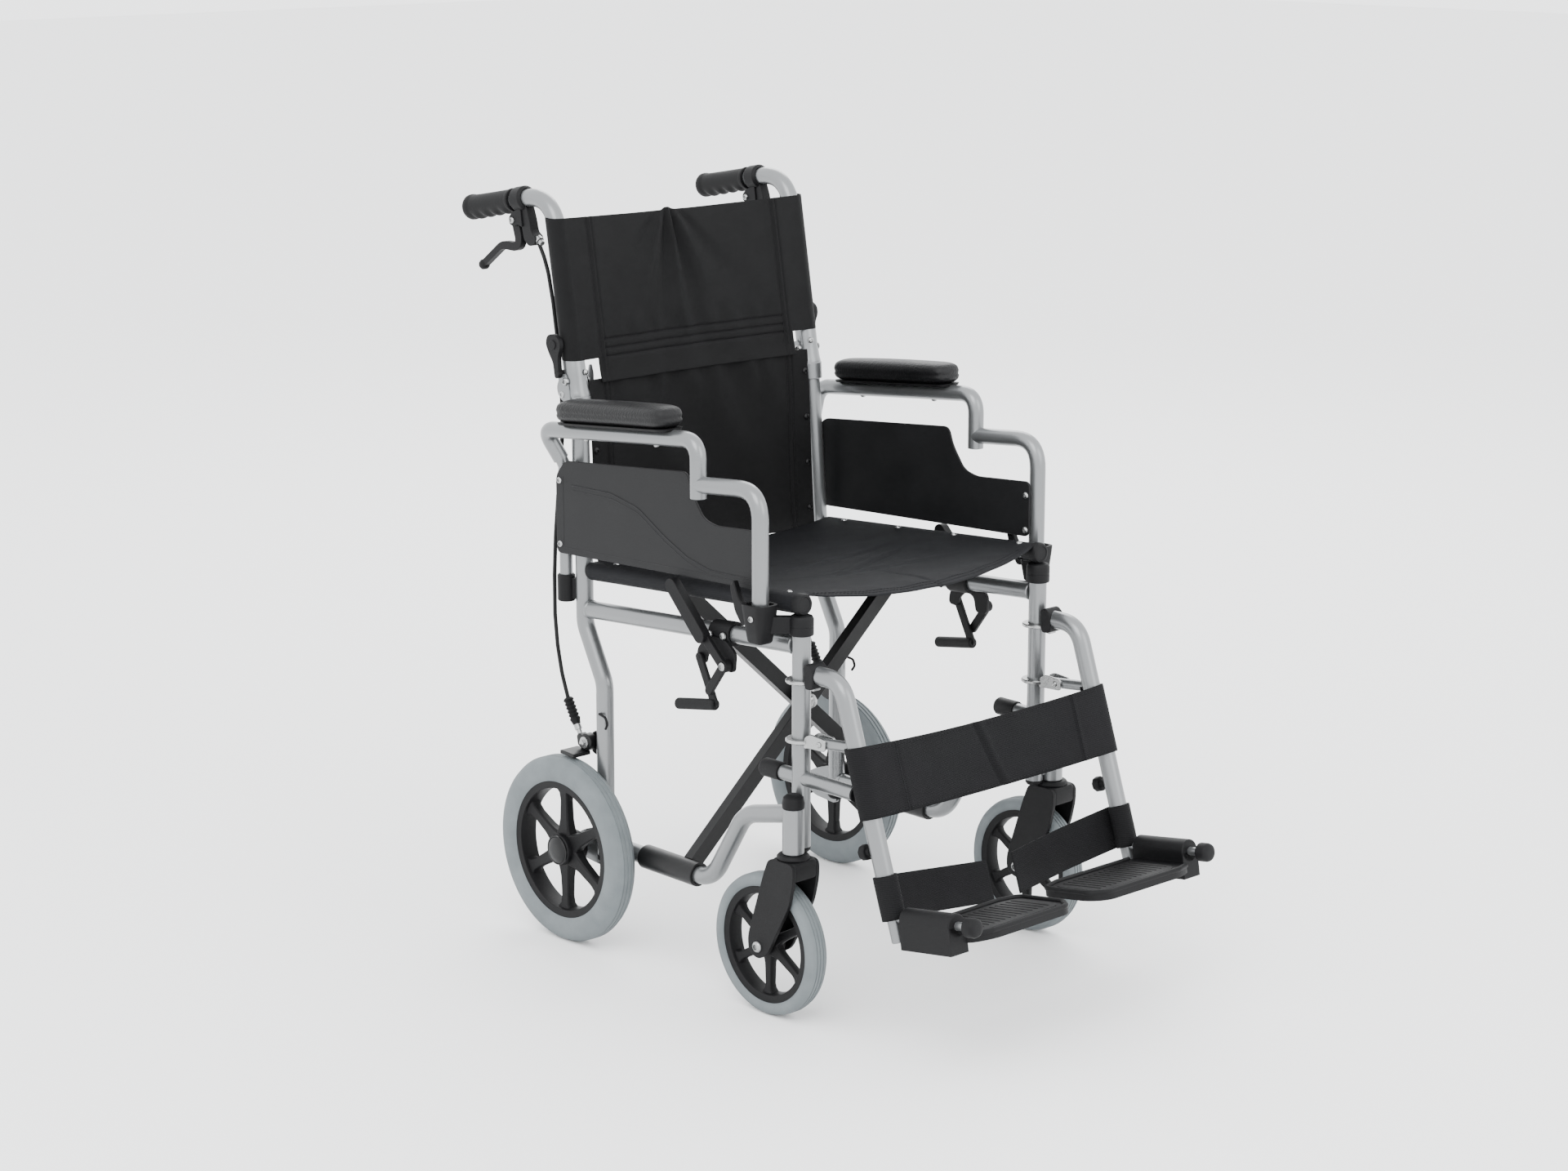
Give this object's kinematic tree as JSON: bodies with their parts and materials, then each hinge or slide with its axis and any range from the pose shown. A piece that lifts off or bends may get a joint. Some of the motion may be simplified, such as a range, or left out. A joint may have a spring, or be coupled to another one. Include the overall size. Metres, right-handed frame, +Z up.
{
  "type": "manual wheelchair",
  "caption": "Folding attendant-propelled wheelchair with tubular frame, fabric slings, lift-out armrests, swing-away footrests and hand brakes.",
  "frame": {"origin": "on the floor under the middle of the chair", "axes": "+Z up, -Y forward (the way the seated person faces), -X towards the seated person's right"},
  "size_m": [0.512, 0.9153, 0.9401],
  "materials": {
    "frame_silver": "satin silver",
    "zinc": "satin",
    "black_plastic": "fine grained",
    "black_enamel": "semi-gloss",
    "guard_plastic": "matt grained",
    "grip_rubber": "matt",
    "cable_jacket": "smooth",
    "nylon": "woven",
    "pad_vinyl": "leather grained skin",
    "grey_tyre": "matt solid rubber"
  },
  "bodies": {
    "frame_right": {"front_post_right": "frame_silver", "rear_post_right": "frame_silver", "upper_side_rail_right": "frame_silver", "lower_side_rail_right": "frame_silver", "back_hinge_bracket_right": "zinc", "armrest_socket_right": "black_plastic", "parking_brake_mount_right": "black_plastic", "brake_cable_right": "cable_jacket", "back_sling_lower": "nylon"},
    "back_right": {"back_tube_right": "frame_silver", "hand_grip_right": "grip_rubber", "brake_lever_mount_right": "black_plastic", "back_sling_upper": "nylon"},
    "hand_lever_right": {"brake_lever_right": "black_plastic"},
    "tyre_brake_right": {"tyre_brake_arm_right": "black_enamel"},
    "armrest_right": {"armrest_frame_right": "frame_silver", "arm_pad_right": "pad_vinyl", "skirt_guard_right": "guard_plastic"},
    "hanger_right": {"footrest_hanger_right": "frame_silver", "calf_strap": "nylon"},
    "extension_right": {"footrest_extension_right": "frame_silver", "heel_strap_right": "nylon"},
    "plate_right": {"footplate_right": "black_plastic"},
    "fork_right": {"castor_fork_right": "black_plastic"},
    "castor_right": {"castor_rim_right": "black_plastic", "castor_tyre_right": "grey_tyre"},
    "rear_wheel_right": {"rear_wheel_rim_right": "black_plastic", "rear_wheel_tyre_right": "grey_tyre"},
    "park_lever_right": {"parking_brake_lever_right": "black_plastic"},
    "park_shoe_right": {"parking_brake_shoe_right": "black_plastic"},
    "frame_left": {"front_post_left": "frame_silver", "rear_post_left": "frame_silver", "upper_side_rail_left": "frame_silver", "lower_side_rail_left": "frame_silver", "back_hinge_bracket_left": "zinc", "armrest_socket_left": "black_plastic", "parking_brake_mount_left": "black_plastic", "brake_cable_left": "cable_jacket"},
    "back_left": {"back_tube_left": "frame_silver", "hand_grip_left": "grip_rubber", "brake_lever_mount_left": "black_plastic"},
    "hand_lever_left": {"brake_lever_left": "black_plastic"},
    "tyre_brake_left": {"tyre_brake_arm_left": "black_enamel"},
    "armrest_left": {"armrest_frame_left": "frame_silver", "arm_pad_left": "pad_vinyl", "skirt_guard_left": "guard_plastic"},
    "hanger_left": {"footrest_hanger_left": "frame_silver"},
    "extension_left": {"footrest_extension_left": "frame_silver", "heel_strap_left": "nylon"},
    "plate_left": {"footplate_left": "black_plastic"},
    "fork_left": {"castor_fork_left": "black_plastic"},
    "castor_left": {"castor_rim_left": "black_plastic", "castor_tyre_left": "grey_tyre"},
    "rear_wheel_left": {"rear_wheel_rim_left": "black_plastic", "rear_wheel_tyre_left": "grey_tyre"},
    "park_lever_left": {"parking_brake_lever_left": "black_plastic"},
    "park_shoe_left": {"parking_brake_shoe_left": "black_plastic"},
    "brace_front": {"cross_brace_front": "black_enamel"},
    "brace_rear": {"cross_brace_rear": "black_enamel"},
    "seat": {"seat_sling": "nylon"}
  },
  "joints": [
    {"name": "back_fold_right", "type": "hinge", "parent": "frame_right", "child": "back_right", "pos_m": [-0.195, 0.256, 0.708], "axis": [-1, 0, 0], "range_deg": [0, 110], "deforming": ["brake_cable_right"]},
    {"name": "hand_lever_squeeze_right", "type": "hinge", "parent": "back_right", "child": "hand_lever_right", "pos_m": [-0.195, 0.366, 0.896], "axis": [1, 0, 0], "range_deg": [0, 22], "stiffness_Nm_per_rad": 1.5, "springref_deg": -8.59},
    {"name": "tyre_brake_turn_right", "type": "hinge", "parent": "frame_right", "child": "tyre_brake_right", "pos_m": [-0.2, 0.226, 0.256], "axis": [1, 0, 0], "range_deg": [-7.4, 0]},
    {"name": "armrest_lift_right", "type": "slide", "parent": "frame_right", "child": "armrest_right", "axis": [0, 0, 1], "range_m": [0, 0.05]},
    {"name": "hanger_swing_right", "type": "hinge", "parent": "frame_right", "child": "hanger_right", "pos_m": [-0.2, -0.155, 0.38], "axis": [0, 0, -1], "range_deg": [0, 90]},
    {"name": "extension_slide_right", "type": "slide", "parent": "hanger_right", "child": "extension_right", "axis": [0, -0.317, -0.9484], "range_m": [-0.01, 0.06]},
    {"name": "footplate_flip_right", "type": "hinge", "parent": "extension_right", "child": "plate_right", "pos_m": [-0.2, -0.372, 0.168], "axis": [0, -0.9877, 0.1564], "range_deg": [0, 94], "deforming": ["heel_strap_right"]},
    {"name": "castor_swivel_right", "type": "hinge", "parent": "frame_right", "child": "fork_right", "pos_m": [-0.222, -0.165, 0.24], "axis": [0, 0, 1], "continuous": true},
    {"name": "castor_roll_right", "type": "hinge", "parent": "fork_right", "child": "castor_right", "pos_m": [-0.222, -0.126, 0.086], "axis": [1, 0, 0], "continuous": true},
    {"name": "rear_wheel_roll_right", "type": "hinge", "parent": "frame_right", "child": "rear_wheel_right", "pos_m": [-0.232, 0.241, 0.119], "axis": [1, 0, 0], "continuous": true},
    {"name": "park_lever_push_right", "type": "hinge", "parent": "frame_right", "child": "park_lever_right", "pos_m": [-0.222, -0.047, 0.408], "axis": [1, 0, 0], "range_deg": [0, 40]},
    {"name": "park_shoe_turn_right", "type": "hinge", "parent": "frame_right", "child": "park_shoe_right", "pos_m": [-0.219, 0.001, 0.41], "axis": [1, 0, 0], "range_deg": [0, 16]},
    {"name": "back_fold_left", "type": "hinge", "parent": "frame_left", "child": "back_left", "pos_m": [0.195, 0.256, 0.708], "axis": [-1, 0, 0], "range_deg": [0, 110], "deforming": ["brake_cable_left"]},
    {"name": "hand_lever_squeeze_left", "type": "hinge", "parent": "back_left", "child": "hand_lever_left", "pos_m": [0.195, 0.366, 0.896], "axis": [1, 0, 0], "range_deg": [0, 22], "stiffness_Nm_per_rad": 1.5, "springref_deg": -8.59},
    {"name": "tyre_brake_turn_left", "type": "hinge", "parent": "frame_left", "child": "tyre_brake_left", "pos_m": [0.2, 0.226, 0.256], "axis": [1, 0, 0], "range_deg": [-7.4, 0]},
    {"name": "armrest_lift_left", "type": "slide", "parent": "frame_left", "child": "armrest_left", "axis": [0, 0, 1], "range_m": [0, 0.05]},
    {"name": "hanger_swing_left", "type": "hinge", "parent": "frame_left", "child": "hanger_left", "pos_m": [0.2, -0.155, 0.38], "axis": [0, 0, 1], "range_deg": [0, 90]},
    {"name": "extension_slide_left", "type": "slide", "parent": "hanger_left", "child": "extension_left", "axis": [0, -0.317, -0.9484], "range_m": [-0.01, 0.06]},
    {"name": "footplate_flip_left", "type": "hinge", "parent": "extension_left", "child": "plate_left", "pos_m": [0.2, -0.372, 0.168], "axis": [0, 0.9877, -0.1564], "range_deg": [0, 94], "deforming": ["heel_strap_left"]},
    {"name": "castor_swivel_left", "type": "hinge", "parent": "frame_left", "child": "fork_left", "pos_m": [0.222, -0.165, 0.24], "axis": [0, 0, 1], "continuous": true},
    {"name": "castor_roll_left", "type": "hinge", "parent": "fork_left", "child": "castor_left", "pos_m": [0.222, -0.126, 0.086], "axis": [1, 0, 0], "continuous": true},
    {"name": "rear_wheel_roll_left", "type": "hinge", "parent": "frame_left", "child": "rear_wheel_left", "pos_m": [0.232, 0.241, 0.119], "axis": [1, 0, 0], "continuous": true},
    {"name": "park_lever_push_left", "type": "hinge", "parent": "frame_left", "child": "park_lever_left", "pos_m": [0.222, -0.047, 0.408], "axis": [1, 0, 0], "range_deg": [0, 40]},
    {"name": "park_shoe_turn_left", "type": "hinge", "parent": "frame_left", "child": "park_shoe_left", "pos_m": [0.219, 0.001, 0.41], "axis": [1, 0, 0], "range_deg": [0, 16]},
    {"name": "frame_fold", "type": "hinge", "parent": "frame_right", "child": "brace_front", "pos_m": [-0.2, 0.076, 0.128], "axis": [0, -1, 0], "range_deg": [0, 28], "deforming": ["seat_sling", "back_sling_upper", "back_sling_lower", "calf_strap"]},
    {"name": "brace_cross", "type": "hinge", "parent": "brace_front", "child": "brace_rear", "pos_m": [0, 0.059, 0.3065], "axis": [0, -1, 0], "range_deg": [-56, 0]},
    {"name": "left_frame_fold", "type": "hinge", "parent": "brace_rear", "child": "frame_left", "pos_m": [0.2, 0.076, 0.128], "axis": [0, -1, 0], "range_deg": [0, 28]},
    {"name": "seat_rise", "type": "hinge", "parent": "brace_rear", "child": "seat", "pos_m": [-0.2, 0.068, 0.485], "axis": [0, -1, 0], "range_deg": [0, 28]}
  ],
  "couplings": [
    {"joint": "brace_cross", "follows": "frame_fold", "ratio": -2},
    {"joint": "left_frame_fold", "follows": "frame_fold", "ratio": 1},
    {"joint": "seat_rise", "follows": "frame_fold", "ratio": 1},
    {"joint": "back_fold_left", "follows": "back_fold_right", "ratio": 1},
    {"joint": "tyre_brake_turn_right", "follows": "hand_lever_squeeze_right", "ratio": -0.33},
    {"joint": "footplate_flip_right", "follows": "frame_fold", "ratio": 3.35},
    {"joint": "park_shoe_turn_right", "follows": "park_lever_push_right", "ratio": 0.4},
    {"joint": "tyre_brake_turn_left", "follows": "hand_lever_squeeze_left", "ratio": -0.33},
    {"joint": "footplate_flip_left", "follows": "frame_fold", "ratio": 3.35},
    {"joint": "park_shoe_turn_left", "follows": "park_lever_push_left", "ratio": 0.4}
  ]
}
